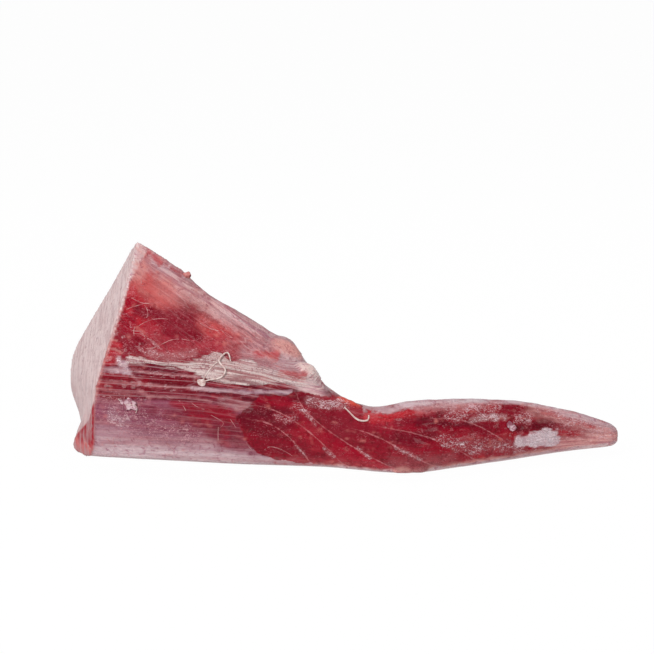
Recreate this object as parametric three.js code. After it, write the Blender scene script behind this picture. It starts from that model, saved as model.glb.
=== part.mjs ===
// Bluefin tuna nape: one raw piece, cut off behind the head, a tall wedge that runs out into a flat tail.
// Millimetres, +Z up, +X from the cut end to the tip of the tail, +Y from the front of the piece to its back.
// The origin is the middle of the underside of the bounding box, and the underside of the wedge is flat.
import * as THREE from "three";

const { lerp, smoothstep } = THREE.MathUtils;

// Driving sizes. A station is a distance along +X from the front corner of the cut end.
const LENGTH = 331;
const WEDGE_HEIGHT = 131;
const WEDGE_DEPTH = 88;
const SLAB_HEIGHT = 60; // the shoulder, where the steep front wall turns into the sloping upper face
const TAIL_THICKNESS = 42;
const TAIL_DEPTH = 64;
const TIP_LIFT = 6; // how far the underside of the tail's tip is off the table

const FLESH_COLOUR = 0x9c3038;

// A smooth curve through a few [share of the span, value] points.
function profile(span, ...points) {
  const places = points.map(([share]) => share * span);
  const values = points.map(([, value]) => value);
  const through = new THREE.CubicInterpolant(places, values, 1, new Float32Array(1));
  return (place) => through.evaluate(place)[0];
}

// Plan: where the front and the back of the piece meet the table.
const frontY = profile(
  LENGTH,
  [0, 0],
  [0.07, -4.5],
  [0.28, -15.5],
  [0.43, -20],
  [0.6, -31],
  [0.68, -22],
  [0.8, -9],
  [0.9, 2],
  [1, 9],
);
const backY = profile(
  LENGTH,
  [0, WEDGE_DEPTH],
  [0.16, 0.94 * WEDGE_DEPTH],
  [0.3, 0.8 * WEDGE_DEPTH],
  [0.42, 0.6 * WEDGE_DEPTH],
  [0.6, TAIL_DEPTH - 31],
  [0.75, 0.72 * TAIL_DEPTH - 14],
  [0.9, 0.5 * TAIL_DEPTH + 2],
  [1, 27],
);

// Side view: the underside, the shoulder, the ridge, and the height at which the back stands out furthest.
const LIFT_FROM = 0.62 * LENGTH;
const baseZ = (station) => TIP_LIFT * (Math.max(0, station - LIFT_FROM) / (LENGTH - LIFT_FROM)) ** 1.5;
const shoulderZ = profile(
  LENGTH,
  [0, 0.95 * SLAB_HEIGHT],
  [0.2, SLAB_HEIGHT],
  [0.33, 0.97 * SLAB_HEIGHT],
  [0.42, 0.85 * SLAB_HEIGHT],
  [0.48, 0.68 * SLAB_HEIGHT],
  [0.53, 0.8 * TAIL_THICKNESS],
  [0.6, 0.88 * TAIL_THICKNESS],
  [0.7, 0.84 * TAIL_THICKNESS],
  [0.82, 0.7 * TAIL_THICKNESS],
  [0.92, 0.48 * TAIL_THICKNESS],
  [1, 0.26 * TAIL_THICKNESS],
);
const ridgeZ = profile(
  LENGTH,
  [0, WEDGE_HEIGHT],
  [0.08, 0.91 * WEDGE_HEIGHT],
  [0.14, 0.855 * WEDGE_HEIGHT],
  [0.2, 0.76 * WEDGE_HEIGHT],
  [0.28, 0.66 * WEDGE_HEIGHT],
  [0.36, 0.52 * WEDGE_HEIGHT],
  [0.41, 0.4 * WEDGE_HEIGHT],
  [0.45, 0.96 * TAIL_THICKNESS],
  [0.52, 0.84 * TAIL_THICKNESS],
  [0.6, TAIL_THICKNESS],
  [0.7, TAIL_THICKNESS],
  [0.82, 0.88 * TAIL_THICKNESS],
  [0.92, 0.68 * TAIL_THICKNESS],
  [1, 0.44 * TAIL_THICKNESS],
);
const ridgeY = profile(
  LENGTH,
  [0, 49],
  [0.2, 45],
  [0.36, 36],
  [0.45, 18],
  [0.52, 3],
  [0.62, -5],
  [0.78, 7],
  [1, 17],
);
const backZ = profile(LENGTH, [0, 34], [0.3, 30], [0.5, 20], [0.75, 18], [0.9, 14], [1, 9]);

// How far each corner of the section is rounded, and how far its flat sides crown outwards.
const TOE_ROUND = 7;
const HEEL_ROUND = 14;
const BELLY_ROUND = 22;
const SHOULDER_ROUND = 11;
const BACK_ROUND = 26;
const ridgeRound = profile(LENGTH, [0, 5], [0.35, 9], [0.45, 16], [1, 12]);
const BELLY_CROWN = 2.5;
const BROW_CROWN = 3;
const TOE_SETBACK = 2;
const SHOULDER_SETBACK = 5;
const HEEL_SETBACK = 5;
const FULL_HEIGHT = 24; // where the shoulder is lower than this, the crowns and the setbacks shrink with it

// The section at a station: its corners in the YZ plane, from the front toe up over the ridge to the heel.
function corners(station) {
  const front = frontY(station);
  const back = backY(station);
  const base = baseZ(station);
  const fullness = Math.min(1, (shoulderZ(station) - base) / FULL_HEIGHT);
  const shoulder = new THREE.Vector2(front + SHOULDER_SETBACK * fullness, shoulderZ(station));
  const ridge = new THREE.Vector2(ridgeY(station), ridgeZ(station));
  const slope = ridge.clone().sub(shoulder);
  const outwards = new THREE.Vector2(-slope.y, slope.x).normalize();
  const brow = shoulder.clone().addScaledVector(slope, 0.55).addScaledVector(outwards, BROW_CROWN * fullness);
  const belly = new THREE.Vector2(front - BELLY_CROWN * fullness, lerp(base, shoulder.y, 0.38));
  return [
    { at: new THREE.Vector2(front + TOE_SETBACK * fullness, base), round: TOE_ROUND, steps: 4 },
    { at: belly, round: BELLY_ROUND, steps: 6 },
    { at: shoulder, round: SHOULDER_ROUND, steps: 7 },
    { at: brow, round: BACK_ROUND, steps: 7 },
    { at: ridge, round: ridgeRound(station), steps: 11 },
    { at: new THREE.Vector2(back, backZ(station)), round: BACK_ROUND, steps: 6 },
    { at: new THREE.Vector2(back - HEEL_SETBACK * fullness, base), round: HEEL_ROUND, steps: 11 },
  ];
}

// The curve from the middle of one rounded corner to the middle of the next, in equal steps without its end.
function side(before, from, to, after) {
  const arc = (corner, left, right) => {
    const ends = [left, right].map((towards) => {
      const reach = corner.at.distanceTo(towards.at);
      return corner.at.clone().lerp(towards.at, Math.min(corner.round / reach, 0.48));
    });
    return new THREE.QuadraticBezierCurve(ends[0], corner.at, ends[1]).getPoints(8);
  };
  const points = [...arc(from, before, to).slice(4), ...arc(to, from, after).slice(0, 5)];
  const path = new THREE.CurvePath();
  for (let i = 1; i < points.length; i++) path.add(new THREE.LineCurve(points[i - 1], points[i]));
  return path.getSpacedPoints(from.steps).slice(0, -1);
}

function section(station) {
  const all = corners(station);
  const pick = (i) => all[(i + all.length) % all.length];
  return all.flatMap((corner, i) => side(pick(i - 1), corner, pick(i + 1), pick(i + 2)));
}

// The cut end: upright beside the slab, leaning over the wedge above it, with its back further out.
const CUT_LEAN = 0.48;
const CUT_LEAN_FROM = 46;
const CUT_LEAN_ROUND = 8;
const CUT_YAW = -0.3;
const HEEL_TUCK = 6; // the back of the cut end draws in at the table
const LIP_REACH = 9; // the lower muscle swells out past the rest of the cut
const LIP_Y = 19;
const LIP_WIDTH = 12;
const LIP_TOP = 28;
const CUT_FADE = 110; // the sections behind the cut turn square again over this length

function cutX(y, z) {
  const above = z - CUT_LEAN_FROM;
  const lean = (CUT_LEAN * (above + Math.hypot(above, CUT_LEAN_ROUND))) / 2;
  const tuck = HEEL_TUCK * (1 - smoothstep(z, 0, 24)) * smoothstep(y, 0.4 * WEDGE_DEPTH, WEDGE_DEPTH);
  const lip = LIP_REACH * Math.exp(-(((y - LIP_Y) / LIP_WIDTH) ** 2)) * (1 - smoothstep(z, 8, LIP_TOP));
  return lean + CUT_YAW * y + tuck - lip;
}

// Soft swellings of the skin: each lifts it by height around a point of the piece.
const SWELLINGS = [
  { station: 126, y: 40, z: 60, spread: 12, height: 9 },
  { station: 134, y: 34, z: 45, spread: 9, height: 5 },
  { station: 123, y: 30, z: 68, spread: 7, height: 3.2 },
  { station: 136, y: 16, z: 57, spread: 6.5, height: 4 },
  { station: 100, y: 70, z: 40, spread: 26, height: 5 },
  { station: 34, y: 48, z: 118, spread: 20, height: 3 },
];

// One closed ring of the skin: the section at a station, shrunk about its middle, slanted with the cut.
function ring(station, scale, squareness) {
  const outline = section(station);
  const middle = outline.reduce((sum, p) => sum.add(p), new THREE.Vector2()).divideScalar(outline.length);
  return outline.map((p) => {
    const { x: y, y: z } = middle.clone().lerp(p, scale);
    const point = new THREE.Vector3(station + (1 - squareness) * cutX(y, z), y, z);
    const outwards = new THREE.Vector3(0, y - middle.x, z - middle.y).normalize();
    for (const swelling of SWELLINGS) {
      const centre = new THREE.Vector3(swelling.station, swelling.y, swelling.z);
      const near = Math.exp(-point.distanceToSquared(centre) / swelling.spread ** 2);
      point.addScaledVector(outwards, scale * swelling.height * near);
    }
    point.z = Math.max(point.z, 0); // the table keeps the underside flat
    return point;
  });
}

const CUT_RINGS = 7;
const BODY_RINGS = 62;
const TIP_RINGS = 4;
const TIP_LENGTH = 8;

function rings() {
  const made = [];
  for (let i = 1; i < CUT_RINGS; i++) made.push(ring(0, i / CUT_RINGS, 0));
  for (let i = 0; i <= BODY_RINGS; i++) {
    const station = ((LENGTH - TIP_LENGTH) * i) / BODY_RINGS;
    made.push(ring(station, 1, smoothstep(station, 0, CUT_FADE)));
  }
  for (let i = 1; i < TIP_RINGS; i++) {
    const turn = (i / TIP_RINGS) * (Math.PI / 2);
    made.push(ring(LENGTH - TIP_LENGTH * (1 - Math.sin(turn)), Math.cos(turn) ** 0.6, 1));
  }
  return made;
}

// A closed skin over the rings, with a point in the middle of the first and the last one.
function skin(loops) {
  const middle = (loop) => loop.reduce((sum, p) => sum.add(p), new THREE.Vector3()).divideScalar(loop.length);
  const around = loops[0].length;
  const points = [middle(loops[0]), ...loops.flat(), middle(loops.at(-1))];
  const at = (i, j) => 1 + i * around + (j % around);
  const last = loops.length - 1;
  const faces = [];
  for (let j = 0; j < around; j++) {
    faces.push(0, at(0, j), at(0, j + 1));
    for (let i = 0; i < last; i++) {
      faces.push(at(i, j), at(i + 1, j), at(i, j + 1));
      faces.push(at(i, j + 1), at(i + 1, j), at(i + 1, j + 1));
    }
    faces.push(at(last, j + 1), at(last, j), points.length - 1);
  }
  const geometry = new THREE.BufferGeometry().setFromPoints(points);
  geometry.setIndex(faces);
  return geometry;
}

function napeGeometry() {
  const geometry = skin(rings());
  geometry.computeBoundingBox();
  const middle = geometry.boundingBox.getCenter(new THREE.Vector3());
  return geometry.translate(-middle.x, -middle.y, -geometry.boundingBox.min.z);
}

const nape = new THREE.Mesh(
  napeGeometry(),
  new THREE.MeshStandardMaterial({ color: FLESH_COLOUR, roughness: 0.35, metalness: 0 }),
);
nape.name = "nape";

const group = new THREE.Group();
group.add(nape);

export default group;
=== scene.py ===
# %% [markdown]
# # A raw tuna nape
# The nape is the boneless piece of a tuna behind the head. Here it is a tall wedge of raw flesh with a
# smooth slanting cut, a ridge along the top, a lower slab and a flat tail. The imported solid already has
# that form and size, so this lesson gives it a skin: the grain of the muscle, the thin walls of sinew
# in it, the whitish and lilac membranes, and a few loose threads.

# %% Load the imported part
import math

import bmesh
import bpy
import numpy as np
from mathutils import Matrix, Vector, noise
from mathutils.bvhtree import BVHTree


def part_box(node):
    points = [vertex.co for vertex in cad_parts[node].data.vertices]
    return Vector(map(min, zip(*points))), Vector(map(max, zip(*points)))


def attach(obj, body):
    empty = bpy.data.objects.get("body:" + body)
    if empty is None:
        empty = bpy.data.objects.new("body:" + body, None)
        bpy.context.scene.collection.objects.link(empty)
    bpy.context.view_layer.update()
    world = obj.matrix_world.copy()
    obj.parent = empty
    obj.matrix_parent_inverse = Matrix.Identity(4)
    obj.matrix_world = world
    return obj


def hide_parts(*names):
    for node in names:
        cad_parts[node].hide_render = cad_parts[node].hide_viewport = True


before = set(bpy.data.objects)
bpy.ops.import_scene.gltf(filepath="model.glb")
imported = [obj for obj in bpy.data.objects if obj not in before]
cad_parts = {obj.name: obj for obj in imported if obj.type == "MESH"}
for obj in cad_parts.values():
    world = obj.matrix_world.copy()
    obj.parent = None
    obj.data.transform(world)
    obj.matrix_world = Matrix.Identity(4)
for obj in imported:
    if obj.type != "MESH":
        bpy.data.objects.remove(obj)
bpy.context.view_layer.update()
low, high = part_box("nape")
MM = 0.001
print("box of the part in mm", [round((b - a) / MM, 1) for a, b in zip(low, high)])

# %% [markdown]
# Every place is given in millimetres from one corner of the box: how far along from the cut end, how
# deep from the front, and how far up from the table. Colours are everyday 0 to 255 values, and a helper
# turns them into the linear ones that Blender takes. The first set is painted on the skin, and the
# shader lays the second over it as fine lines and specks. Two more helpers turn a shape into a mesh and
# put an object into the scene.

# %% Places, colours and two helpers
def place(along, deep, up):
    """A point in metres from millimetres along, deep and up from the box's lowest corner."""
    return Vector((low.x + along * MM, low.y + deep * MM, low.z + up * MM))


def linear(red, green, blue):
    """An everyday colour as linear red, green, blue and alpha."""
    shares = [value / 255 for value in (red, green, blue)]
    return tuple(s / 12.92 if s <= 0.04045 else ((s + 0.055) / 1.055) ** 2.4 for s in shares) + (1.0,)


def add_object(name, data):
    """Puts a new object with that data into the scene."""
    made = bpy.data.objects.new(name, data)
    bpy.context.scene.collection.objects.link(made)
    return made


def mesh_from(name, shape):
    """Turns a bmesh into a mesh, and lets go of the bmesh."""
    mesh = bpy.data.meshes.new(name)
    shape.to_mesh(mesh)
    shape.free()
    return mesh


COLOURS = {
    "cut_face": (222, 198, 197),
    "salmon": (216, 152, 145),
    "coral": (204, 94, 92),
    "hot_coral": (184, 32, 42),
    "raw_red": (154, 4, 34),
    "deep_red": (130, 1, 30),
    "wine": (106, 0, 26),
    "brown_red": (138, 24, 42),
    "rose": (160, 76, 82),
    "dusty_pink": (182, 118, 120),
    "ridge_film": (200, 166, 168),
    "lilac_white": (212, 188, 193),
    "lilac": (154, 86, 106),
    "plum": (128, 18, 42),
    "aubergine": (112, 6, 34),
    "lilac_grey": (228, 203, 206),
    "brick": (168, 48, 60),
    "ember": (218, 76, 58),
    "pale_edge": (246, 216, 210),
    # frost is a painted highlight: the lamp's reflection on a flat wet facet near the tail's end.
    "frost": (250, 232, 238),
    "tip_pink": (240, 180, 174),
    "cherry": (184, 34, 48),
}
PAINT = {name: np.array(linear(*value)[:3]) for name, value in COLOURS.items()}
FINE_COLOURS = {
    "pale_fibre": (226, 150, 156),
    "strand": (214, 172, 174),
    "sheet_line": (212, 176, 182),
    "sinew_line": (196, 118, 122),
    "veil": (208, 182, 186),
    # pink_glint and white_glint are painted glints: pale specks that stand for wet highlights.
    "pink_glint": (214, 134, 142),
    "white_glint": (242, 222, 228),
    "film_dot": (128, 62, 76),
    "sinew": (228, 211, 207),
    "sinew_fibre": (188, 144, 146),
    "sinew_speck": (120, 60, 76),
    "cut_streak": (186, 150, 152),
    "cut_dash": (150, 96, 104),
    "cut_blotch": (170, 126, 132),
}
FINE = {name: linear(*value) for name, value in FINE_COLOURS.items()}
print(len(PAINT), "painted colours and", len(FINE), "fine ones")

# %% [markdown]
# The camera stands in front of the long side and looks down a little. A long lens keeps the edges
# almost parallel, as in a picture of goods for sale.

# %% Camera
AIM = place(171.5, 57.6, 80)
CAMERA_DISTANCE = 1.2
CAMERA_ELEVATION = math.radians(15)

scene = bpy.context.scene
camera = add_object("camera", bpy.data.cameras.new("camera"))
camera.data.lens = 105
camera.data.sensor_width = 36
towards_camera = Vector((0, -math.cos(CAMERA_ELEVATION), math.sin(CAMERA_ELEVATION)))
camera.location = AIM + CAMERA_DISTANCE * towards_camera
camera.rotation_euler = towards_camera.to_track_quat("Z", "Y").to_euler()
scene.camera = camera
print("camera at", [round(value, 3) for value in camera.location])

# %% [markdown]
# The floor is lit and glows as well, and it glows more for the camera than for the flesh, so it stays
# pale under the fish. The world works the same way: the camera sees plain white, and the fish gets only
# a weak glow.

# %% Floor and world
FLOOR_HALF = 6
FLOOR_GAP = 0.2 * MM
FLOOR_GLOW = 1.02
GLOW_SHARE = 0.5
GLOW_SHARE_TO_CAMERA = 0.46
SKY_GLOW = 0.18


def node(tree, kind, inputs=None, **settings):
    """Adds a node, sets its options, and fills its inputs with values or with links."""
    made = tree.nodes.new("ShaderNode" + kind)
    for name, value in settings.items():
        setattr(made, name, value)
    for key, value in (inputs or {}).items():
        if isinstance(value, bpy.types.NodeSocket):
            tree.links.new(value, made.inputs[key])
        else:
            made.inputs[key].default_value = value
    return made


def step(kind, inputs, output=0, **settings):
    """Adds a node to the tree that its linked inputs belong to, and returns one of its outputs."""
    tree = next(value.id_data for value in inputs.values() if isinstance(value, bpy.types.NodeSocket))
    return node(tree, kind, inputs, **settings).outputs[output]


def maths(operation, *values):
    """One step of arithmetic in a shader."""
    return step("Math", dict(enumerate(values)), operation=operation)


def empty_material(name):
    """A material with a bare Principled shader, returned with its tree and that shader."""
    material = bpy.data.materials.new(name)
    material.use_nodes = True
    tree = material.node_tree
    tree.nodes.clear()
    shader = node(tree, "BsdfPrincipled")
    node(tree, "OutputMaterial", {"Surface": shader.outputs["BSDF"]})
    return material, tree, shader


scene.view_settings.view_transform = "Standard"
scene.view_settings.look = "None"
shape = bmesh.new()
bmesh.ops.create_grid(shape, x_segments=1, y_segments=1, size=FLOOR_HALF)
bmesh.ops.translate(shape, verts=shape.verts, vec=(0, 0, -FLOOR_GAP))
floor = add_object("floor", mesh_from("floor", shape))

floor_material, tree, shader = empty_material("floor_white")
shader.inputs["Base Color"].default_value = (0.5, 0.5, 0.5, 1)
shader.inputs["Roughness"].default_value = 0.9
shader.inputs["Specular IOR Level"].default_value = 0.0
white = node(tree, "Emission", {"Color": (1, 1, 1, 1), "Strength": FLOOR_GLOW})
to_camera = node(tree, "LightPath").outputs["Is Camera Ray"]
share = maths("MULTIPLY_ADD", to_camera, GLOW_SHARE_TO_CAMERA, GLOW_SHARE)
both = step("MixShader", {0: share, 1: shader.outputs[0], 2: white.outputs[0]})
tree.links.new(both, tree.nodes["Material Output"].inputs["Surface"])
floor.data.materials.append(floor_material)

world = bpy.data.worlds.new("studio")
scene.world = world
world.use_nodes = True
tree = world.node_tree
tree.nodes.clear()
seen = node(tree, "Background", {"Color": (1, 1, 1, 1), "Strength": 1.0})
glow = node(tree, "Background", {"Color": (0.98, 0.99, 1, 1), "Strength": SKY_GLOW})
to_camera = node(tree, "LightPath").outputs["Is Camera Ray"]
both = step("MixShader", {0: to_camera, 1: glow.outputs[0], 2: seen.outputs[0]})
node(tree, "OutputWorld", {"Surface": both})
print("floor and world made")

# %% [markdown]
# Raw fish is wet, so it shows the lamps as soft glints. One lamp at the upper left lights the cut and
# the front, one above and behind gives the pale sheen on the ridge and the tail, and a weak one fills
# the right. Each has a place in metres, two side lengths and a power in watts.

# %% Lamps
LAMP_AIM = place(150, 55, 40)
LAMPS = {
    "key_lamp": ((-0.85, -0.75, 0.85), (0.5, 0.5), 12),
    "top_lamp": ((0.1, 0.45, 1.05), (1.2, 0.4), 7),
    "fill_lamp": ((0.7, -0.95, 0.6), (0.5, 0.5), 5),
}
for name, (where, sides, power) in LAMPS.items():
    light = bpy.data.lights.new(name, "AREA")
    light.shape = "RECTANGLE"
    light.size, light.size_y = sides
    light.energy = power
    holder = add_object(name, light)
    holder.location = Vector(where)
    holder.rotation_euler = (holder.location - LAMP_AIM).to_track_quat("Z", "Y").to_euler()
print(len(LAMPS), "lamps")

# %% [markdown]
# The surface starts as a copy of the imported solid. A voxel Remesh cuts it into an even net of small
# faces, which is then relaxed until the flat facets are gone. No point may slip far, so the ridge and
# the edge of the cut stay sharp.

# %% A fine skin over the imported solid
VOXEL = 1.15 * MM
RELAX_ROUNDS = 12
RELAX_LIMIT = 0.4 * MM

shape = bmesh.new()
shape.from_mesh(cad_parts["nape"].data)
bmesh.ops.remove_doubles(shape, verts=shape.verts, dist=1e-6)
coarse = add_object("coarse", mesh_from("coarse", shape))
remesh = coarse.modifiers.new("remesh", "REMESH")
remesh.mode = "VOXEL"
remesh.voxel_size = VOXEL
depsgraph = bpy.context.evaluated_depsgraph_get()
skin = bpy.data.meshes.new_from_object(coarse.evaluated_get(depsgraph))
bpy.data.objects.remove(coarse)
skin.name = "nape_flesh"
flesh = add_object("nape_flesh", skin)


def rows_of(items, name, width, kind=float):
    """One property of all the vertices, normals or edges, as rows of numbers."""
    values = np.empty(len(items) * width, kind)
    items.foreach_get(name, values)
    return values.reshape(-1, width)


edges = rows_of(skin.edges, "vertices", 2, np.int64)
neighbours = np.bincount(edges.ravel(), minlength=len(skin.vertices))


def spread(values):
    """Each vertex's value averaged over its neighbours."""
    columns = values.reshape(len(values), -1)
    total = np.zeros(columns.shape)
    for column in range(columns.shape[1]):
        total[:, column] = np.bincount(edges[:, 0], columns[edges[:, 1], column], len(columns))
        total[:, column] += np.bincount(edges[:, 1], columns[edges[:, 0], column], len(columns))
    return (total / neighbours[:, None]).reshape(values.shape)


start = rows_of(skin.vertices, "co", 3)
relaxed = start.copy()
for _ in range(RELAX_ROUNDS):
    moved = (relaxed + spread(relaxed)) / 2 - start
    length = np.linalg.norm(moved, axis=1, keepdims=True)
    relaxed = start + moved * np.minimum(1, RELAX_LIMIT / np.maximum(length, 1e-9))
skin.vertices.foreach_set("co", relaxed.ravel())
skin.update()
print("skin has", len(skin.vertices), "vertices and", len(skin.polygons), "faces")

# %% [markdown]
# The finishes need to know where they are. So each vertex gets its place in millimetres, its normal,
# and the height and depth of the ridge above it. Masks follow from them: the cut face, the front, and
# the underside.

# %% Measure the skin
SLICE = 4
CUT_END = 75
CUT_SPREADS = 4
CUT_EDGE = ((5, 26), (30, 27), (40, 28), (56, 28), (73, 32), (92, 41), (102, 42), (124, 55))


def ramp(value, start, end):
    """0 before start, 1 after end and a soft S between; start may be the larger of the two."""
    share = np.clip((value - start) / (end - start), 0, 1)
    return share * share * (3 - 2 * share)


def along_line(where, points):
    """A height for each place, through a few (place, height) points."""
    return np.interp(where, [p[0] for p in points], [p[1] for p in points])


normals = rows_of(skin.vertex_normals, "vector", 3)
along, deep, up = ((relaxed - np.array(low)) / MM).T

slices = np.arange(SLICE / 2, along.max(), SLICE)
tops = []
for middle in slices:
    inside = np.flatnonzero(np.abs(along - middle) < SLICE / 2)
    tops.append(inside[np.argmax(up[inside])])
ridge_up = np.interp(along, slices, up[tops])
ridge_deep = np.interp(along, slices, np.convolve(np.pad(deep[tops], 2, "edge"), np.ones(5) / 5, "valid"))
under_up = 6 * (np.maximum(0, along - 228) / 124) ** 1.5

cut = ((normals[:, 0] < -0.5) & (along < CUT_END) & (up > 1)).astype(float)
for _ in range(CUT_SPREADS):
    cut = spread(cut)
off_cut = 1 - ramp(cut, 0.3, 0.7)
front = ramp(deep - ridge_deep, 5, -5) * off_cut
below = ramp(normals[:, 2], -0.6, -0.9)
from_cut = along - along_line(up, CUT_EDGE)
print("cut face", int((cut > 0.5).sum()), "front", int((front > 0.5).sum()), "vertices")

# %% [markdown]
# Muscle fibres give meat its grain. Above the whitish sinew band they run down beside the ridge, below
# it they run level, and in the tail they draw together. So the grain is a place of its own, made of how
# far a vertex is along the fibres, across them, and in depth. Every streak later stretches along the
# first.

# %% The grain of the muscle
BAND = (
    (0, 64), (96, 64), (130, 60), (161, 53), (190, 44), (215, 43), (262, 43), (300, 38), (330, 29), (356, 18),
)
RIDGE_FALL = 0.61
FIBRE_SCALE = 60

band_up = along_line(along, BAND)
level = FIBRE_SCALE * (up - under_up) / (band_up - under_up)
beside_ridge = FIBRE_SCALE + 57 + 0.85 * (up - 131 + RIDGE_FALL * (along - 50))
above_band = ramp(up - band_up, -3, 8) * ramp(along, 186, 160)
across = level + (beside_ridge - level) * above_band
ridge_across = np.interp(along, slices, across[tops])
on_back = ridge_across * (up - under_up) / np.maximum(ridge_up - under_up, 1)
across = on_back + (across - on_back) * ramp(deep - ridge_deep, 4, -4)
across += 0.8 * deep * below
grain = np.stack([along, across, 0.35 * deep], axis=1)
print("grain runs across from", round(across.min()), "to", round(across.max()))

# %% [markdown]
# Nothing in meat is even, so soft noise bends and breaks all that follows. A seed number fixes it, so
# the fish comes out the same each time. Noise in grain space gives streaks and folds, and noise in
# plain space gives crumbs and the slow drift of the edges.

# %% Noise over the skin
def wander(points, size, seed):
    """Soft noise from about -1 to 1 at each row of points, with its waves as long as size."""
    offset = Vector((7.3 * seed, 3.1 * seed, 11.7 * seed))
    return np.array([noise.noise(Vector(point) + offset) for point in points / np.array(size)])


here = np.stack([along, up, deep], axis=1)
streak = wander(grain, (26, 2.4, 9), 1)
fine_streak = wander(grain, (12, 1.3, 6), 2)
cloud = wander(grain, (16, 9, 12), 3)
back_wave = wander(grain, (40, 14, 20), 4)
drift_along = along + 3.0 * wander(here, 14, 7) + 1.4 * wander(here, 4, 8)
drift_up = up + 2.2 * wander(here, 12, 9) + 1.2 * wander(here, 4, 10)
fold = wander(grain, (70, 3.6, 18), 11) + 0.35 * wander(grain, (40, 1.9, 12), 12)
crumb = 0.7 * wander(here, 5, 13) + 0.5 * wander(here, 2.5, 14)
print("streaks from", round(streak.min(), 2), "to", round(streak.max(), 2))

# %% [markdown]
# Thin walls of sinew part the muscle into blocks. They show as pale lines that start level and curve
# down towards the tail. Each line is one formula: where it starts, how far it runs, how far it drops,
# and how late it bends. Counting the lines from left to right gives the block number. It is whole on
# each line, so the shader can draw the lines as thin as it likes.

# %% The sinew walls between the muscle blocks
SEPTA = (
    (122, 32, 36, 23.5, 2.4),
    (127, 40.5, 49, 31.5, 1.75),
    (152, 48, 46, 37, 0.6),
    (183, 28.5, 47, 20, 1.6),
    (201, 30, 54, 19.5, 2.2),
    (233, 35, 40, 14, 2.0),
    (282, 34, 60, 24, 1.3),
)
SEPTUM_RISE = 1.1
BEFORE_FIRST = 30
AFTER_LAST = 60
LEAST_GAP = 0.5
STEP = 0.5


def septum_along(septum, height):
    """How far along a sinew wall is at each height."""
    start_along, start_up, run, drop, bend = septum
    fall = np.maximum(start_up - height, 0) / drop
    return start_along + run * fall ** (1 / bend) - SEPTUM_RISE * np.maximum(height - start_up, 0)


def block_number(along, up):
    """Counts the sinew walls to the left of each place, with the share of the block that it is in."""
    places = [septum_along(septum, up) for septum in SEPTA]
    places = np.array([places[0] - BEFORE_FIRST] + places + [places[-1] + AFTER_LAST])
    places = np.maximum.accumulate(places + LEAST_GAP * np.arange(len(places))[:, None], axis=0)
    block = np.clip((places <= along).sum(axis=0) - 1, 0, len(places) - 2)
    rows = np.arange(len(along))
    left, right = places[block, rows], places[block + 1, rows]
    return block + np.clip((along - left) / (right - left), 0, 1)


block = block_number(along, up)
change_along = (block_number(along + STEP, up) - block_number(along - STEP, up)) / (2 * STEP)
change_up = (block_number(along, up + STEP) - block_number(along, up - STEP)) / (2 * STEP)
block_width = 1 / np.maximum(np.hypot(change_along, change_up), 0.02)
septum_far = np.abs(block - np.round(block)) * block_width
nearest = np.clip(np.round(block).astype(int) - 1, 0, len(SEPTA) - 1)
septum_top = np.array([septum[1] for septum in SEPTA])[nearest]
septum_shown = ramp(up - septum_top, 2, -2) * (1 - 0.6 * ramp(along, 250, 300))
print("blocks from", round(block.min(), 1), "to", round(block.max(), 1))

# %% [markdown]
# Next come the sheets over the muscle. The band of whitish sinew has a top and a foot. The dark window
# is where the lilac membrane is torn away, and bare red muscle shows from there to the tip. Each vertex
# keeps how many millimetres it lies inside an edge, so that the shader can make that edge ragged.

# %% The sinew band and the bare muscle
BAND_TOP = (
    (46, 65), (50, 66.5), (56, 66), (60, 64.5), (72, 64), (85, 64.5), (92, 66.5), (99, 69), (105, 70),
    (109, 67), (112, 64.5), (119, 66), (125, 65.5), (130, 62.5), (140, 60), (148, 57), (160, 54.5),
    (178, 49.5),
)
BAND_FOOT = (
    (46, 62), (60, 62), (80, 61), (87, 59.5), (92, 58), (97, 56), (102, 54), (115, 53.5), (145, 53.5),
    (160, 52), (178, 49),
)
WINDOW_LEFT = ((10, 128), (20, 121), (28, 117.5), (34, 115.5), (38, 119), (41, 125))
WINDOW_TOP = (
    (116, 34), (124, 41), (127, 44), (130, 47), (147, 47), (150, 49.3), (157, 49.5), (165, 47.5), (180, 44.5),
    (191, 41), (194, 37), (210, 36.5), (213, 38.3), (222, 40.2), (230, 41.3), (250, 42.3), (262, 46),
    (275, 50), (356, 45),
)
WINDOW_FOOT = (
    (116, 32), (121, 19), (126, 12), (133, 9), (140, 6.5), (155, 4.5), (171, 3.5), (230, 2.5), (262, 4),
    (300, 6), (356, 8),
)
band_top = along_line(along, BAND_TOP)
band_foot = along_line(along, BAND_FOOT)
sinew_in = np.minimum.reduce([band_top - up, up - band_foot, 0.5 * (along - 48), 0.5 * (180 - along)])
window_top = along_line(along, WINDOW_TOP)
window_sides = [along - along_line(up, WINDOW_LEFT), window_top - up, up - along_line(along, WINDOW_FOOT)]
bare_in = np.minimum.reduce(window_sides)
bare = ramp(bare_in, -1, 1)
print("sinew band", int((sinew_in > 0).sum()), "bare muscle", int((bare > 0.5).sum()), "vertices")

# %% [markdown]
# The colours of raw meat come in soft patches, stretched along the fibres. Brush strokes paint them on
# two layers: the skin, and the bare muscle where the skin is torn. Four plain fields go with them. Film
# is thin speckled membrane, fibrous says how strongly the fibres show, glints says how many painted
# glints there are (pale specks that stand for wet highlights, some of them flecks of pale tissue), and
# lift raises or sinks the surface in millimetres. A stroke has a colour, a half width, a strength, its
# options, and one or more paths of points along and up.

# %% Brushes
layers = {
    "skin": np.tile(PAINT["brown_red"], (len(along), 1)),
    "muscle": np.tile(PAINT["raw_red"], (len(along), 1)),
}
fields = {
    "film": np.zeros(len(along)),
    "fibrous": np.full(len(along), 0.3),
    # glints sets how many painted glints show: pale specks that stand for wet highlights.
    "glints": np.full(len(along), 0.25),
    "lift": np.zeros(len(along)),
}


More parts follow.
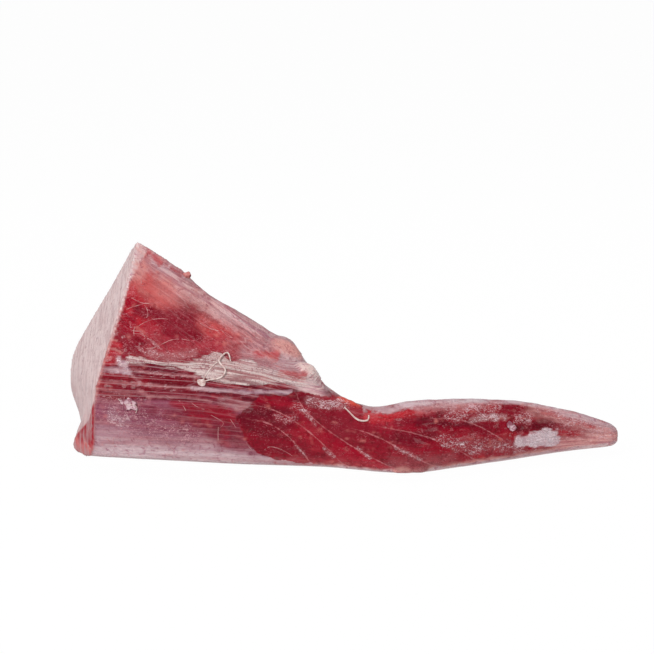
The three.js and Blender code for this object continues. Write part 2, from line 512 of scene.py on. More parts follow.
def cover(colour, amount, *names):
    """Mixes a colour into the named layers, or the skin, by an amount at each vertex."""
    for name in names or ("skin",):
        layers[name] += (PAINT[colour] - layers[name]) * np.clip(amount, 0, 1)[:, None]


def settle(name, goal, amount):
    """Moves a field towards a goal by an amount at each vertex."""
    fields[name] = fields[name] + (goal - fields[name]) * amount


def away(points, along, up):
    """How far each vertex is from a line of (along, up) points, in millimetres."""
    nearest = np.full(len(along), 1e3)
    for (a0, u0), (a1, u1) in zip(points, points[1:]):
        run, rise = a1 - a0, u1 - u0
        share = np.clip(((along - a0) * run + (up - u0) * rise) / (run ** 2 + rise ** 2), 0, 1)
        nearest = np.minimum(nearest, np.hypot(along - a0 - share * run, up - u0 - share * rise))
    return nearest


def stroke(colour, width, strength, points, soft=0.4, crumbly=0.3, raised=0.0, layer="skin", **goals):
    """One brush stroke of half that width, its edge drifting, frayed along the fibres and crumbly."""
    drift = min(1.0, 0.25 + width / 8)
    far = away(points, along + drift * (drift_along - along), up + drift * (drift_up - up))
    edge = far / width + 0.3 * streak + 0.25 * fine_streak + crumbly * crumb
    amount = strength * front * ramp(edge, 1 + soft, 1 - soft)
    cover(colour, amount, layer)
    for name, goal in goals.items():
        settle(name, goal, amount)
    fields["lift"] = fields["lift"] + raised * amount


def paint(strokes, **shared):
    """Lays down a table of strokes, whose own options go before the shared ones."""
    for colour, width, strength, options, *paths in strokes:
        for path in paths:
            stroke(colour, width, strength, path, **{**shared, **options})


print("layers:", list(layers), "fields:", list(fields))

# %% [markdown]
# A lilac membrane covers the slab below the sinew band. The muscle shows through it as plum and red
# patches, and it fades into a pale foot.

# %% The lilac slab
SLAB = (
    ("plum", 11, 0.9, dict(soft=0.7, fibrous=0.3), ((90, 31), (118, 24))),
    ("plum", 4, 0.7, dict(soft=0.7), ((55, 36), (72, 33), (90, 32))),
    ("raw_red", 3.5, 0.75, dict(soft=0.6), ((78, 41), (98, 38.5))),
    ("raw_red", 4.5, 0.85, {}, ((102, 37), (112, 34))),
    ("raw_red", 2.4, 0.6, dict(soft=0.6),
     ((88, 33), (98, 30)), ((108, 25), (110, 22)), ((107, 17), (110, 15))),
    ("lilac_grey", 6, 0.5, dict(soft=0.8), ((30, 16), (70, 14), (100, 12))),
    ("lilac_grey", 7.5, 0.95, dict(soft=0.6, film=0.4, fibrous=0.3),
     ((20, 3), (90, 3.5), (128, 1.5), (165, -2))),
    # These two strokes paint glints on the slab: with glints=1 they add pale specks that stand for wet
    # highlights.
    ("lilac_white", 4, 0.35, dict(crumbly=0.9, glints=1), ((37, 31), (45, 27))),
    ("lilac", 9, 0.5, dict(crumbly=0.9, glints=1), ((34, 36), (60, 26), (84, 20))),
    ("dusty_pink", 2.6, 0.85, dict(crumbly=0.6, film=0.6, fibrous=0.5), ((107, 43), (118, 41.5), (124, 40))),
)
lower = ramp(up - band_foot, 2, -4) * front
cover("lilac", 0.95 * lower * ramp(along, 190, 110))
settle("fibrous", 0.4, lower)
settle("glints", 0.12, lower)
paint(SLAB)
print("slab covers", int((lower > 0.5).sum()), "vertices")

# %% [markdown]
# Just under the sinew band the sheets of the slab part into long dark slots with pale edges. These
# strokes are thin, and they sink the slots and raise the edges a little. Before them, the bands get
# painted shade and highlight over their folds: darker in the hollows, paler on the crests.

# %% The slots under the sinew band
SLOTS = (
    ("deep_red", 4.5, 0.9, dict(soft=0.6, fibrous=0.2), ((26, 49.5), (60, 48.6))),
    ("deep_red", 1.7, 0.95, dict(raised=-0.6),
     ((31, 56), (44, 54.5), (54, 51.5)), ((50, 61), (57, 61)), ((80, 60.5), (92, 58.5))),
    ("deep_red", 2.2, 0.95, dict(raised=-0.6),
     ((29, 48.9), (60, 48.4), (90, 47.5)), ((31, 43.2), (50, 42.8)), ((58, 54.8), (75, 54.2), (93, 53.6))),
    ("raw_red", 1.9, 0.8, dict(raised=-0.4), ((31, 54), (60, 52.6))),
    ("plum", 1.7, 0.8, {}, ((30, 46.8), (56, 46.4)), ((64, 46), (84, 46))),
    ("aubergine", 1.0, 0.9, dict(raised=-0.4),
     ((58, 61.8), (72, 61.3), (82, 60.6)), ((118, 51.5), (150, 51.5))),
    ("brick", 1.0, 0.6, {}, ((99, 52.8), (117, 52.4)), ((101, 46), (118, 45.2)), ((130, 52.2), (152, 52))),
    ("dusty_pink", 0.8, 0.8, dict(raised=0.35), ((30, 51.6), (55, 50.8), (80, 50), (104, 49.3)),
     ((30, 45.6), (50, 45.1), (62, 44.2), (84, 44.5), (100, 42.6))),
    ("dusty_pink", 0.8, 0.75, dict(raised=0.3), ((50, 59.6), (60, 58.3), (80, 57.2), (93, 56.2)),
     ((48, 58), (53, 54), (57, 50.5)), ((55, 47), (60, 44.5), (62, 41))),
    ("lilac_white", 1.1, 0.75, dict(film=0.4, raised=0.2), ((88, 50.4), (110, 49.3), (132, 48.9), (150, 49))),
)
bands = ramp(up - band_foot, 4, 0) * ramp(up, 40, 44) * front * ramp(along, 180, 160)
settle("fibrous", 0.45, bands)
cover("plum", 0.9 * bands)
# Painted shade in the fold hollows and painted highlight on the fold crests, over the fold relief.
cover("aubergine", bands * ramp(fold, 0.12, -0.15))
cover("dusty_pink", 0.6 * bands * ramp(fold, 0.3, 0.46))
cover("dusty_pink", 0.35 * lower * (1 - bands) * ramp(fold, 0.2, 0.4))
paint(SLOTS)
print("bands cover", int((bands > 0.5).sum()), "vertices")

# %% [markdown]
# The wedge above the band is coral at the top and brown red in the middle. A pale film comes down
# beside the ridge and gets its folds first. The small marks go on top: red pits near the cut, thin dark
# seams, and a few white scraps of torn film.

# %% The wedge
WEDGE = (
    ("coral", 11, 0.9, dict(soft=0.5, fibrous=0.2, glints=0.2), ((52, 114), (58, 106), (70, 103))),
    ("salmon", 5, 0.75, dict(soft=0.6, film=0.3), ((50, 119), (54, 113))),
    ("ridge_film", 9, 0.97, dict(soft=0.5, film=0.5, fibrous=1),
     ((66, 121), (87, 107), (112, 92), (137, 75), (165, 56))),
    ("salmon", 5.5, 0.5, dict(soft=0.9, film=0.2, fibrous=0.8), ((68, 106), (84, 99), (104, 90), (126, 80))),
    ("coral", 4, 0.4, dict(soft=0.7, fibrous=0.4), ((96, 80), (106, 76), (114, 73))),
    ("hot_coral", 2.4, 0.5, dict(soft=0.7, fibrous=0.4), ((98, 79), (110, 75))),
    ("ridge_film", 5.5, 0.8, dict(soft=0.6, film=0.3, fibrous=0.8), ((124, 69), (148, 62), (170, 53))),
    ("ridge_film", 4, 0.65, dict(soft=0.8, film=0.4, fibrous=1), ((108, 86), (124, 79), (140, 71))),
    ("coral", 3.6, 0.6, dict(soft=0.8, fibrous=0.8), ((92, 84), (108, 79), (128, 71.5))),
    ("hot_coral", 2, 0.5, dict(soft=0.8, fibrous=0.4), ((98, 81), (114, 75.5))),
    ("pale_edge", 3.5, 0.6, dict(soft=0.6), ((157, 54.5), (166, 51))),
    ("rose", 6, 0.7, dict(soft=0.8), ((112, 72), (134, 66))),
)
WEDGE_MARKS = (
    ("raw_red", 1.8, 0.85, dict(fibrous=1, crumbly=0.6), ((63, 121), (70, 116.5)), ((73, 114.5), (79, 111))),
    ("hot_coral", 1.6, 0.85, dict(fibrous=0.5), ((53, 126), (59, 123.5)), ((61, 121.5), (66, 117)),
     ((128, 69), (140, 65)), ((143, 58.6), (158, 55))),
    ("cherry", 7, 0.95, dict(soft=0.6, fibrous=0.1, glints=0.4), ((46, 97), (51, 90), (60, 84))),
    ("raw_red", 2.8, 0.95, dict(raised=-0.5),
     ((45, 96.5), (51, 94.5)), ((41, 88), (49, 86)), ((42, 84), (48, 83))),
    ("deep_red", 3.2, 1.0, dict(soft=0.5, raised=-0.9), ((52, 91.5), (57, 89.5)), ((61, 90.5), (66, 90))),
    ("deep_red", 5, 0.6, dict(soft=0.9), ((62, 88), (80, 85))),
    ("brick", 4, 0.75, dict(soft=0.8), ((61, 80), (70, 78)), ((62, 69), (84, 70.5)), ((92, 74), (104, 73))),
    ("deep_red", 1.8, 0.85, dict(soft=0.6, raised=-0.4),
     ((70, 80), (82, 79), (92, 77)), ((52, 75), (58, 72))),
    # This stroke paints glints near the sinew band's left end: pale specks that stand for wet highlights.
    ("dusty_pink", 2.4, 0.5, dict(crumbly=0.9, glints=1), ((60, 68), (74, 67), (90, 70))),
    ("cherry", 1.7, 0.95, dict(raised=0.5), ((34, 72.2), (43, 71.8)), ((33, 68), (42, 66.5))),
    ("aubergine", 1.5, 0.95, dict(raised=-0.5), ((31, 62), (40, 61)), ((32, 65), (40, 64))),
    ("salmon", 0.6, 0.75, dict(raised=0.3),
     ((33, 75), (41, 74.4)), ((34, 70.2), (40, 69.6), (44, 67.6)), ((32, 65.4), (38, 64.8), (42, 63))),
    ("lilac_white", 1.5, 0.9, dict(crumbly=0.5, film=0.8, raised=0.2), ((32, 58.3), (48, 57.4))),
    ("lilac_white", 2.4, 0.8, dict(crumbly=0.9, film=1, glints=0.9), ((42, 63), (45, 60))),
    ("cherry", 3, 0.8, dict(crumbly=0.5), ((33, 64), (38, 63))),
)
wedge = ramp(up - band_top, 0, 4) * front * ramp(along, 176, 150)
mottled = cloud + 0.6 * crumb
broken_streak = fine_streak + 0.6 * streak
cover("deep_red", 0.45 * wedge * ramp(mottled, -0.05, -0.5))
cover("rose", 0.25 * wedge * ramp(mottled, 0.05, 0.5))
paint(WEDGE)
ridge_folds = fields["film"] * wedge
cover("deep_red", 0.9 * ridge_folds * ramp(broken_streak, -0.12, -0.45))
cover("lilac_white", 0.8 * ridge_folds * ramp(broken_streak, 0.15, 0.5))
paint(WEDGE_MARKS)
print("wedge covers", int((wedge > 0.5).sum()), "vertices")

# %% [markdown]
# The bare muscle runs from the dark window to the tip. It is wine red where it is thick and wet, brick
# and salmon along its foot, and in some patches hazy with painted glints: pale specks that stand for wet
# highlights. A frosty pale patch of film near the end of the tail is a painted highlight, the lamp's
# reflection on a flat wet facet, and the tip is pale and fibrous.

# %% The bare muscle and the tail
BARE_PATCHES = (
    ("wine", 6, 0.95, {}, ((121, 36), (136, 35.5), (148, 34))),
    ("deep_red", 2.4, 0.6, {}, ((128, 45), (150, 46.5))),
    ("wine", 2.6, 0.7, {}, ((150, 46.5), (161, 45.5))),
    ("wine", 4, 0.7, {}, ((160, 8), (172, 8))),
    ("deep_red", 7, 0.7, {}, ((122, 22), (140, 18), (156, 14))),
    ("wine", 5, 0.6, {}, ((124, 30), (132, 26), (140, 26))),
    ("brown_red", 6, 0.7, {}, ((160, 36), (168, 32), (180, 30))),
    ("brown_red", 8, 0.5, {}, ((180, 30), (196, 24), (220, 22))),
    ("brick", 4.2, 0.85, {}, ((150, 5), (190, 5.5), (250, 6))),
    ("salmon", 2.8, 0.85, {}, ((165, 2), (200, 1), (250, 3), (300, 6), (345, 10))),
    ("hot_coral", 2.1, 0.85, {}, ((196, 35), (210, 35.6), (216, 37.5), (232, 39.6), (250, 40.4))),
    ("wine", 2.6, 0.45, {}, ((214, 33), (226, 36), (244, 36))),
    # This wine stroke is painted shadow: the dark line under a fold of the tail.
    ("wine", 2.2, 0.85, {}, ((228, 33.6), (245, 32.4), (262, 29.5))),
    ("wine", 3.4, 0.6, {}, ((212, 24), (236, 25))),
    ("coral", 4, 0.6, {}, ((250, 40), (264, 41), (276, 40))),
    ("deep_red", 4.5, 0.8, {}, ((279, 38), (290, 35), (304, 31))),
    ("deep_red", 3.2, 0.8, {}, ((263, 27), (270, 24))),
    ("wine", 3, 0.85, {}, ((288, 25), (300, 24), (312, 24))),
    ("rose", 4.5, 0.65, {}, ((212, 9), (228, 9.5), (245, 8))),
    ("hot_coral", 1.8, 0.6, {}, ((264, 8), (268, 8.6)), ((281, 20), (286, 21))),
    ("brick", 5, 0.6, {}, ((318, 17), (326, 16))),
)
# These strokes paint glints: they set the glints field high, so their patches fill with pale specks that
# stand for wet highlights.
GLINT_PATCHES = (
    ("brick", 2.6, 0.6, {}, ((142, 34), (149, 33)), ((151, 40), (158, 38))),
    ("rose", 2.8, 0.7, {}, ((160, 44), (182, 41.5))),
    ("rose", 1.0, 0.7, {},
     ((156, 38.5), (160, 34), (164, 30)), ((152, 16), (155, 13), (158, 9)), ((170, 15), (173, 12), (176, 9))),
    ("rose", 1.2, 0.7, {},
     ((191, 17), (194, 14), (198, 11)), ((213, 19), (222, 14.5), (229, 10.5)),
     ((242, 19), (247, 16), (252, 12.5))),
    ("brick", 3.6, 0.6, {},
     ((242, 22), (252, 18)), ((262, 37), (276, 36)), ((246, 35.5), (256, 34)), ((291, 29), (297, 28))),
    ("rose", 4.6, 0.6, dict(soft=0.7), ((258, 17), (272, 15), (290, 13))),
    ("dusty_pink", 1.6, 0.75, dict(soft=0.5, raised=0.2), ((260, 31), (268, 32), (275, 31.2), (282, 30.5))),
)
TAIL_END = (
    ("rose", 8, 0.6, dict(soft=0.8, fibrous=0.4, glints=0.7), ((322, 22), (350, 14))),
    ("tip_pink", 6.5, 0.8, dict(soft=0.7, fibrous=1, glints=0.8), ((302, 37), (328, 30), (352, 20))),
    ("tip_pink", 4.5, 0.85, dict(soft=0.8, fibrous=1), ((316, 9), (340, 11), (352, 12), (356, 16))),
    ("cherry", 1.2, 0.55, {}, ((306, 31), (322, 26.5), (340, 19)), ((316, 35), (332, 28), (348, 20))),
    ("cherry", 1.6, 0.5, {}, ((318, 18), (330, 16.5))),
    ("ridge_film", 3.6, 0.65, dict(soft=0.8, film=0.3, glints=0.7), ((228, 43.5), (246, 42), (268, 43))),
    # These two strokes paint a highlight: the lamp's reflection on a flat wet facet, as a frosty pale patch
    # of film.
    ("frost", 2.6, 0.9, dict(crumbly=0.5, film=1, glints=1, raised=0.2), ((290, 16.2), (300, 15.6))),
    ("frost", 5.2, 0.9, dict(soft=0.15, crumbly=0.15, film=1, glints=1, raised=0.3),
     ((301, 15), (307, 16), (312, 14))),
)
settle("fibrous", 0.06, bare * front)
settle("glints", 0.2 + 0.06 * ramp(along, 200, 260), bare * front)
cover("deep_red", 0.6 * ramp(mottled, -0.05, 0.5), "muscle")
cover("brick", 0.4 * ramp(mottled, -0.15, -0.6), "muscle")
paint(BARE_PATCHES, soft=0.6, layer="muscle")
paint(GLINT_PATCHES, crumbly=0.9, glints=1, layer="muscle")
paint(TAIL_END, layer="muscle")
on_top = ramp(up - window_top + 1.2 * crumb, -0.8, 0.8) * ramp(along, 188, 194) * ramp(along, 276, 258)
cover("ridge_film", 0.85 * on_top)
fields["film"] = np.maximum(fields["film"], 0.4 * on_top)
print("strokes on the bare muscle:", len(BARE_PATCHES) + len(GLINT_PATCHES) + len(TAIL_END))

# %% [markdown]
# What faces away is finished like what shows: a film of fat with red flesh through it, and more of the
# red towards the tail. A pale line follows the foot of the piece: partly pale membrane, partly painted
# light that lifts the shade where the flesh meets the table. Another pale line follows its crest along
# the tail: partly thin membrane, partly painted sheen from the lamp above.

# %% The back, the foot and the crest
rear = (1 - front) * off_cut
red_on_back = back_wave + 0.4 * ramp(along, 170, 240) - 0.25 * ramp(up, 70, 110)
cover("ridge_film", 0.8 * rear)
settle("film", 0.4, rear)
settle("fibrous", 0.8 - 0.45 * ramp(along, 150, 200), rear)
cover("rose", 0.8 * rear * ramp(back_wave, -0.05, 0.4))
cover("brick", 0.85 * rear * ramp(red_on_back, 0.25, 0.55))
cover("lilac_grey", 0.6 * rear * ramp(up - under_up, 14, 4))
cover("lilac_grey", 0.7 * below)
# The pale toe and foot line: partly pale membrane, partly painted light that hides the shade near the table.
toe = ramp(up - under_up + 0.8 * crumb, 4.8, 2.2) * ramp(along, 140, 190) * (1 - cut)
pale_foot_and_painted_light = ramp(up - under_up + 0.3 * crumb, 2.6, 0.9) * front
# The pale crest line: partly thin membrane, partly painted sheen where the lamp above catches the edge.
crest = ramp(up - ridge_up + 0.4 * crumb, -1.6, -0.2) * ramp(along, 196, 212)
crest = np.maximum(crest, 0.9 * ramp(up - ridge_up + 0.5 * crumb, -5, -1.5) * ramp(along, 305, 325))
cover("lilac_grey", 0.85 * toe, *layers)
cover("pale_edge", 0.9 * pale_foot_and_painted_light, *layers)
cover("lilac_white", crest * ramp(broken_streak, -0.7, 0.1), *layers)
print("rear covers", int((rear > 0.5).sum()), "vertices")

# %% [markdown]
# Small lobes of fat bulge at the foot of the ridge, in the notch and under the tail. Each is a dome:
# where it sits, its radius, how high it rises, and its colour. It is longer along the fish than across
# it, and noise dents its outline.

# %% Lobes of fat
LOBES = (
    (147, 66, 10, 2.6, "salmon"),
    (160.5, 56, 8, 2.4, "pale_edge"),
    (218, 3, 5, 1.5, "salmon"),
    (229, 3, 4, 1.2, "dusty_pink"),
    (182.5, 43.5, 3.6, 1.6, "ember"),
    (187, 42.5, 3.4, 2.0, "ember"),
    (190.5, 41.5, 2.6, 1.4, "ember"),
)
LOBE_STRETCH = (0.75, 1, 1)
for at_along, at_up, radius, rise, colour in LOBES:
    flat = np.where(front > 0.3, np.hypot(along - at_along, up - at_up), 1e3)
    middle = relaxed[np.argmin(flat)]
    reach = np.linalg.norm((relaxed - middle) * LOBE_STRETCH, axis=1) / MM / radius
    reach = reach * (1 + 0.4 * cloud + 0.25 * crumb)
    dome = np.sqrt(np.maximum(0, 1 - reach ** 2))
    fields["lift"] = np.maximum(fields["lift"], rise * dome)
    covered = ramp(dome + 0.3 * crumb + 0.2 * streak, 0.1, 0.9)
    fields["fibrous"] *= 1 - covered
    fields["film"] *= 1 - covered
    cover(colour, 0.95 * covered, *layers)
print(len(LOBES), "lobes")

# %% [markdown]
# The knife leaves a smooth, pale cut. The fibres beside it are frayed, and a thin salmon rim marks its
# edge. At its foot a lip of coral flesh shows, grooved by its own fibres.

# %% The cut and its lip
LIP_FRONT = 33
LIP_REACH = 24
LIP_TOP = 38
frayed_end = front * np.exp(-np.maximum(from_cut, 0) / 7) * ramp(up, 96, 86) * ramp(up, 40, 50)
cover("raw_red", 0.7 * frayed_end)
cover("coral", 0.5 * frayed_end * ramp(fold, 0.15, 0.4))
cover("deep_red", frayed_end * ramp(fold, 0, -0.3))
fields["lift"] = fields["lift"] + 0.9 * fold * frayed_end
rim = ramp(cut, 0.02, 0.2) * ramp(up, 34, 46) * front
rim = rim + 0.8 * front * ramp(from_cut, 3.4, 1.2) * ramp(up, 56, 96)
cover("salmon", 0.7 * rim)
cover("cut_face", 0.85 * rim * ramp(up, 60, 95) * ramp(fine_streak, -0.6, -0.1))

cut_in = ramp(cut, 0.35, 0.65)
cover("cut_face", cut_in)
cover("dusty_pink", 0.35 * cut_in * ramp(up, 70, 10))
cover("rose", 0.5 * cut_in * ramp(deep, 72, 100) * ramp(up, 36, 14) * ramp(crumb, -0.4, 0.3))
for name in ("film", "fibrous", "glints"):
    fields[name] *= 1 - cut_in

coral_edge = LIP_FRONT + LIP_REACH * (1 - up / LIP_TOP)
coral_in = cut_in * ramp(coral_edge - deep, -2, 2) * ramp(up, LIP_TOP + 3, LIP_TOP - 5)
lip_streak = wander(np.stack([0.3 * along, up - 0.5 * deep, 0.4 * deep], axis=1), (6, 1.8, 6), 5)
lip_red = ramp(deep + 5 * crumb, LIP_FRONT + 22, LIP_FRONT + 12) * ramp(up + 3 * crumb, 7, 13)
cover("coral", 0.95 * coral_in)
cover("dusty_pink", 0.7 * coral_in * ramp(up, 10, 3))
cover("hot_coral", 0.8 * coral_in * ramp(crumb, -0.3, 0.2) * ramp(up, 6, 12))
cover("raw_red", 0.9 * coral_in * lip_red)
cover("salmon", 0.55 * coral_in * ramp(lip_streak, -0.1, -0.4) * ramp(up, 18, 8))
print("cut covers", int((cut_in > 0.5).sum()), "vertices")

# %% [markdown]
# Neighbouring muscle blocks differ a little in shade. Then the skin gets its low relief. Fibre bundles
# stand proud, the sinew walls pinch in, the sinew band lies on top, and the bare muscle is sunk. Every
# vertex moves along its normal, by about three millimetres at most, and none goes under the table.

# %% Low relief
BLOCK_SHADE = 0.2
BAND_RISE = 0.5
WINDOW_SINK = 0.7
FOLD_RISE = 1.1

shade = np.array([noise.noise(Vector((3.7 * int(value), 0.4, 8.1))) for value in np.floor(block)])
layers["muscle"] *= (1 + BLOCK_SHADE * shade)[:, None]
relief = fields["lift"] + (1 - cut_in) * (0.34 * streak + 0.16 * fine_streak + 0.3 * cloud + 0.3 * crumb)
relief += front * (BAND_RISE * ramp(sinew_in, -1, 1) - WINDOW_SINK * bare) + FOLD_RISE * fold * bands
relief += bare * septum_shown * (0.8 * ramp(septum_far, 0, 5) - 0.5 * np.exp(-((septum_far / 1.2) ** 2)))
relief += 0.12 * cut_in * wander(relaxed / MM, 9, 6) + coral_in * (0.9 + 0.6 * lip_streak)
relief *= 1 - 0.8 * below
shaped = relaxed + normals * relief[:, None] * MM
shaped[:, 2] = np.maximum(shaped[:, 2], low.z)


def smooth_shaded(mesh):
    """Makes every face of a mesh catch the light softly."""
    mesh.polygons.foreach_set("use_smooth", [True] * len(mesh.polygons))
    mesh.update()


skin.vertices.foreach_set("co", shaped.ravel())
smooth_shaded(skin)
print("relief from", round(relief.min(), 2), "to", round(relief.max(), 2), "mm")

# %% [markdown]
# The shader reads all this from attributes on the mesh: one number, vector or colour for each vertex.

# %% Keep the fields on the mesh
def keep(name, kind, values):
    """Stores one value, vector or colour for each vertex."""
    attribute = skin.attributes.new(name, kind, "POINT")
    socket = {"FLOAT": "value", "FLOAT_VECTOR": "vector", "FLOAT_COLOR": "color"}[kind]
    attribute.data.foreach_set(socket, np.ascontiguousarray(values, np.float32).ravel())


for name, colours in layers.items():
    keep(name, "FLOAT_COLOR", np.column_stack([np.clip(colours, 0, 1), np.ones(len(colours))]))
keep("grain", "FLOAT_VECTOR", grain)
for name, values in {
    "film": fields["film"],
    "fibrous": fields["fibrous"],
    "glints": fields["glints"],
    "cut": cut,
    "sinew_in": np.where(front > 0.5, sinew_in, -9),
    "bare_in": np.where(cut > 0.3, -9, bare_in),
    "block": block,
    "block_width": block_width,
    "septum_shown": septum_shown * bare,
    "banded": np.clip(bands + 0.35 * lower, 0, 1) * (1 - bare),
}.items():
    keep(name, "FLOAT", values)
print("attributes:", [a.name for a in skin.attributes if not a.name.startswith(".")])

# %% [markdown]
# A few short helpers keep the shader readable. Most need no tree, as a linked value knows its own.
# Three effects come back in the finish of the fish, so each becomes a shader group.

# %% Shader helpers
def attribute(tree, name, socket="Fac"):
    """Reads one of the fields that are kept on the mesh."""
    return node(tree, "Attribute", attribute_name=name).outputs[socket]


def times(product, *factors):
    """The product of two or more values."""
    for factor in factors:
        product = maths("MULTIPLY", product, factor)
    return product


def apart(value, middle):
    """How far a value is from a middle one."""
    return maths("ABSOLUTE", maths("SUBTRACT", value, middle))


def soft_step(value, start, end, low_value=0.0, high_value=1.0):
    """A soft S from one value at start to another at end."""
    inputs = {"Value": value, "From Min": start, "From Max": end, "To Min": low_value, "To Max": high_value}
    return step("MapRange", inputs, interpolation_type="SMOOTHSTEP")


def mix(share, first, second, blend_type="MIX"):
    """Two colours mixed by a share."""
    return step("Mix", {0: share, 6: first, 7: second}, 2, data_type="RGBA", blend_type=blend_type)


def darker(colour, red, green, blue):
    """A colour with each channel dimmed to a share of itself."""
    return mix(1.0, colour, (red, green, blue, 1), "MULTIPLY")


def cloudy(vector, scale=1.0, detail=2.0, roughness=0.5, distortion=0.0):
    """Noise from 0 to 1 at a vector."""
    inputs = {
        "Vector": vector, "Scale": scale, "Detail": detail, "Roughness": roughness, "Distortion": distortion,
    }
    return step("TexNoise", inputs)


def scaled(vector, scale):
    """A vector made longer by a value."""
    return step("VectorMath", {0: vector, "Scale": scale}, operation="SCALE")


def stretched(vector, sizes):
    """A vector divided by a size along each axis, so that noise in it is that long."""
    return step("VectorMath", {0: vector, 1: sizes}, operation="DIVIDE")


def turned(vector, degrees, sizes):
    """Places on the fish turned about the depth axis and scaled."""
    return step("Mapping", {"Vector": vector, "Rotation": (0, math.radians(degrees), 0), "Scale": sizes})


def shader_group(name, inputs, output):
    """An empty node group with named inputs and one output, and its two end nodes."""
    tree = bpy.data.node_groups.new(name, "ShaderNodeTree")
    for label, value in inputs.items():
        kind = "NodeSocketVector" if value is None else "NodeSocketFloat"
        socket = tree.interface.new_socket(label, in_out="INPUT", socket_type=kind)
        if value is not None:
            socket.default_value = value
    tree.interface.new_socket(output, in_out="OUTPUT", socket_type="NodeSocketFloat")
    return tree, tree.nodes.new("NodeGroupInput").outputs, tree.nodes.new("NodeGroupOutput").inputs[0]


def use(group, **inputs):
    """Places a shader group and fills its inputs."""
    return step("Group", inputs, node_tree=group)


print("shader helpers ready")

# %% [markdown]
# The first group draws streaks that follow the grain, by stretching the noise along the fibres.

# %% Streaks along the grain
GRAIN_DEPTH = 6.0
settings = {"Grain": None, "Length": 20.0, "Width": 1.0, "From": 0.4, "To": 0.6}
streaks, given, result = shader_group("streaks", settings, "Streak")
sizes = step("CombineXYZ", {0: given["Length"], 1: given["Width"], 2: GRAIN_DEPTH})
waves = cloudy(stretched(given["Grain"], sizes), detail=3.0, roughness=0.6)
streaks.links.new(soft_step(waves, given["From"], given["To"]), result)
print(len(streaks.nodes), "nodes in the streaks")

# %% [markdown]
# The second group gives a torn edge to whatever has an inside distance, by adding noise to it.

# %% A ragged edge
settings = {"Inside": 0.0, "Grain": None, "Fray": 1.0, "Wave": 2.0}
ragged, given, result = shader_group("ragged_edge", settings, "Mask")
torn = cloudy(scaled(given["Grain"], maths("DIVIDE", 1.0, given["Wave"])), detail=4.0)
torn = times(maths("SUBTRACT", torn, 0.5), 4.0, given["Fray"])
ragged.links.new(soft_step(maths("ADD", given["Inside"], torn), -0.3, 0.3), result)
print(len(ragged.nodes), "nodes in the ragged edge")

# %% [markdown]
# The third group scatters small flecks, which come in clumps. They serve as painted glints on the wet meat,
# as dark specks on the sinew band, and as dark dots in film.

# %% Small flecks and painted glints
settings = {"Place": None, "Size": 1.0, "Amount": 0.3}
flecks, given, result = shader_group("flecks_and_painted_glints", settings, "Mask")
spaced = scaled(given["Place"], maths("DIVIDE", 1.0, given["Size"]))
spots = cloudy(spaced, distortion=1.2)
clumps = cloudy(spaced, scale=0.12, detail=3.0)
most = maths("ADD", times(given["Amount"], 0.2), times(clumps, 0.35))
flecks.links.new(soft_step(maths("ADD", spots, most), 0.84, 0.9), result)
print("groups:", [g.name for g in bpy.data.node_groups])

# %% [markdown]
# The flesh is one wet, slightly see-through material. Its colour starts from the painted layers: the
# skin, and the bare muscle inside a ragged edge. Then it is mottled, and fine fibres darken and lighten
# it.

# %% The meat
flesh_material, tree, shader = empty_material("raw_flesh")
grain_here = attribute(tree, "grain", "Vector")
film_here = attribute(tree, "film")
fibrous_here = attribute(tree, "fibrous")
glints_here = attribute(tree, "glints")
banded_here = attribute(tree, "banded")
cut_here = soft_step(attribute(tree, "cut"), 0.35, 0.6)
meat_here = maths("SUBTRACT", 1.0, cut_here)
spot = scaled(node(tree, "TexCoord").outputs["Object"], 1 / MM)
bare_here = use(ragged, Inside=attribute(tree, "bare_in"), Grain=spot, Fray=0.9, Wave=3.0)
colour = mix(bare_here, attribute(tree, "skin", "Color"), attribute(tree, "muscle", "Color"))

thin = use(streaks, Grain=grain_here, Length=22.0, Width=0.9, From=0.53, To=0.64)
broad = use(streaks, Grain=grain_here, Length=40.0, Width=1.9, From=0.44, To=0.58)
mottle = cloudy(spot, 0.22, 6.0, 0.7, 0.8)
dark_spots = times(soft_step(mottle, 0.5, 0.66), 0.75)
pale_spots = times(soft_step(mottle, 0.46, 0.3), 0.07)
dark_share = maths("MAXIMUM", times(broad, fibrous_here, 0.85), dark_spots)
pale_share = maths("MAXIMUM", times(thin, fibrous_here, 0.9), pale_spots)
deeper = darker(colour, 0.55, 0.22, 0.32)
paler = mix(0.36, colour, FINE["pale_fibre"])
colour = mix(times(dark_share, meat_here), colour, deeper)
colour = mix(times(pale_share, meat_here), colour, paler)
print("meat mottled")

# %% [markdown]
# A line that wanders is where noise crosses one value. That gives the thin pale strands of membrane and
# the thin dark lines of painted shade that stand for fine creases in the meat. The folded sheets of the
# slab lie in order, so their crisp long lines come from a sawtooth across the grain, bent by soft noise.

# %% Strands, creases and sheets
SHEETS_PER_GRAIN = 0.3
strand = apart(cloudy(stretched(grain_here, (42, 5.5, 14))), 0.5)
strand = times(soft_step(strand, 0.016, 0.003), meat_here, soft_step(fibrous_here, 0.2, 0.6))
colour = mix(times(strand, 0.35), colour, FINE["strand"], "LIGHTEN")

# Thin dark lines of painted shade, as in fine creases.
crease_shade = apart(cloudy(stretched(grain_here, (15, 5, 9)), 1.0, 4.0, 0.65), 0.47)
crease_shade = times(soft_step(crease_shade, 0.02, 0.004), meat_here, 0.3)
colour = mix(crease_shade, colour, darker(colour, 0.5, 0.3, 0.38))

